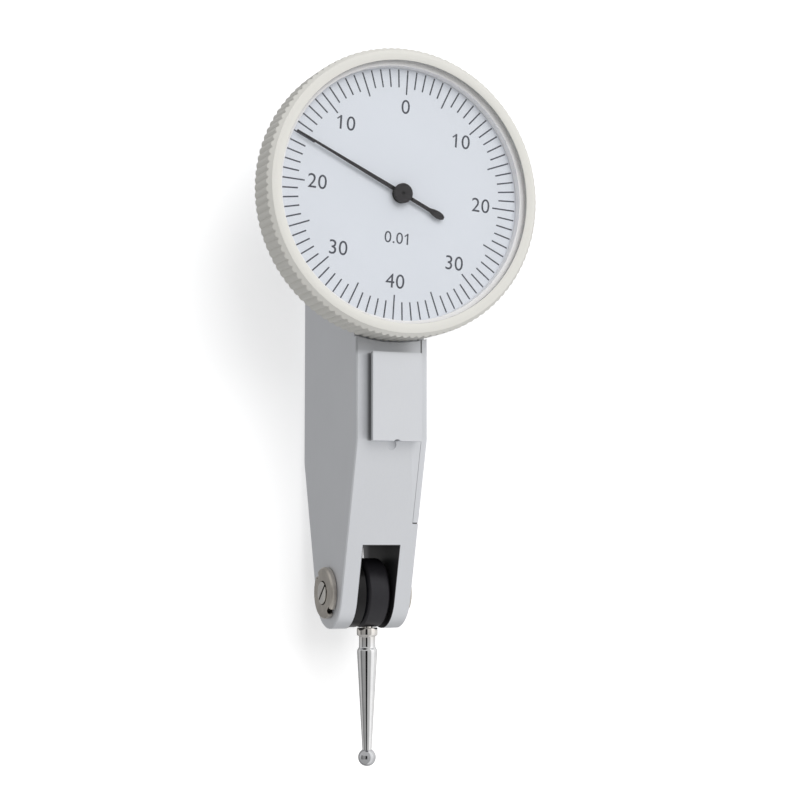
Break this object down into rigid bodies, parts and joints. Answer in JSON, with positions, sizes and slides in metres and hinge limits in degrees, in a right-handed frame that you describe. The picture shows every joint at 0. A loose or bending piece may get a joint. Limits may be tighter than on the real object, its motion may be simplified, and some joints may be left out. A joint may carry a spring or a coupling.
{
  "type": "dial test indicator",
  "caption": "Lever-type dial test indicator: slim wedge body with dovetails, round knurled dial on its front, and a swivelling stylus with a ball tip in a fork",
  "frame": {"origin": "centre of the front dovetail's flat clamping face", "axes": "+Z along the body, away from the stylus; -Y out of the front dovetail and out of the dial; +X towards the side cover"},
  "size_m": [0.032, 0.0226, 0.0793],
  "materials": {
    "body_chrome": "satin hard chrome, fine bead-blasted grain",
    "screw_nickel": "bright nickel plate, slightly warm",
    "inner_steel": "turned steel",
    "spring_steel": "blued spring steel",
    "brass": "fine-ground brass",
    "ruby": "polished synthetic ruby",
    "bezel_ivory": "satin plate with a warm ivory cast, straight knurl",
    "crystal": "clear watch crystal",
    "dial_enamel": "matt bluish-white print ground",
    "black_oxide": "black oxide, semi-matt",
    "stylus_chrome": "polished chrome",
    "carbide": "lapped tungsten carbide",
    "pointer_black": "black paint, semi-matt"
  },
  "bodies": {
    "root": {"frame": "body_chrome", "side_cover": "body_chrome", "cover_screw_1": "screw_nickel", "cover_screw_2": "screw_nickel", "cover_screw_3": "screw_nickel", "cover_screw_4": "screw_nickel", "head_case": "body_chrome", "case_screw_1": "inner_steel", "case_screw_2": "inner_steel", "case_screw_3": "inner_steel", "case_screw_4": "inner_steel", "snap_ring": "spring_steel", "lock_nut_left": "screw_nickel", "lock_nut_right": "screw_nickel", "pivot_screw_left": "screw_nickel", "pivot_screw_right": "screw_nickel", "movement_bridge": "brass", "bridge_post_1": "brass", "bridge_post_2": "brass", "bridge_screw_1": "inner_steel", "bridge_screw_2": "inner_steel", "centre_cock": "brass", "cock_screw": "inner_steel", "sector_jewel_left": "ruby", "sector_jewel_right": "ruby", "crown_jewel_left": "ruby", "crown_jewel_right": "ruby", "centre_jewel_front": "ruby", "centre_jewel_rear": "ruby", "centre_end_stone": "ruby", "hairspring": "spring_steel", "hairspring_stud": "brass"},
    "bezel_unit": {"bezel": "bezel_ivory", "crystal": "crystal", "crystal_spacer": "bezel_ivory", "dial_plate": "dial_enamel"},
    "lever_unit": {"contact_lever": "black_oxide", "drive_pin": "inner_steel", "clutch_washer": "spring_steel"},
    "stylus_unit": {"stylus_hub": "black_oxide", "stylus": "stylus_chrome", "stylus_ball": "carbide"},
    "sector_unit": {"sector_gear": "brass", "sector_arbor": "inner_steel"},
    "crown_unit": {"crown_gear": "brass", "crown_pinion": "inner_steel", "crown_arbor": "inner_steel"},
    "centre_unit": {"centre_arbor": "inner_steel", "centre_pinion": "inner_steel", "pointer": "pointer_black", "pointer_boss": "pointer_black", "hairspring_collet": "brass"}
  },
  "joints": [
    {"name": "bezel_turn", "type": "hinge", "parent": "root", "child": "bezel_unit", "pos_m": [0, 0, 0.02222], "axis": [0, 1, 0], "continuous": true},
    {"name": "pointer_turn", "type": "hinge", "parent": "root", "child": "centre_unit", "pos_m": [0, 0, 0.02222], "axis": [0, 1, 0], "range_deg": [0, 432], "stiffness_Nm_per_rad": 0.0000016, "springref_deg": -716.2},
    {"name": "crown_turn", "type": "hinge", "parent": "root", "child": "crown_unit", "pos_m": [0, 0.01022, 0.02222], "axis": [1, 0, 0], "range_deg": [0, 86.5]},
    {"name": "sector_swing", "type": "hinge", "parent": "root", "child": "sector_unit", "pos_m": [0, 0.01022, 0.008], "axis": [1, 0, 0], "range_deg": [-6.2, 0]},
    {"name": "lever_pivot", "type": "hinge", "parent": "root", "child": "lever_unit", "pos_m": [0, 0.01022, -0.02157], "axis": [1, 0, 0], "range_deg": [0, 2.98]},
    {"name": "stylus_set", "type": "hinge", "parent": "lever_unit", "child": "stylus_unit", "pos_m": [0, 0.01022, -0.02157], "axis": [1, 0, 0], "range_deg": [-110, 110]}
  ],
  "couplings": [
    {"joint": "crown_turn", "follows": "pointer_turn", "ratio": 0.2},
    {"joint": "sector_swing", "follows": "pointer_turn", "ratio": -0.014286},
    {"joint": "lever_pivot", "follows": "pointer_turn", "ratio": 0.0068861}
  ]
}
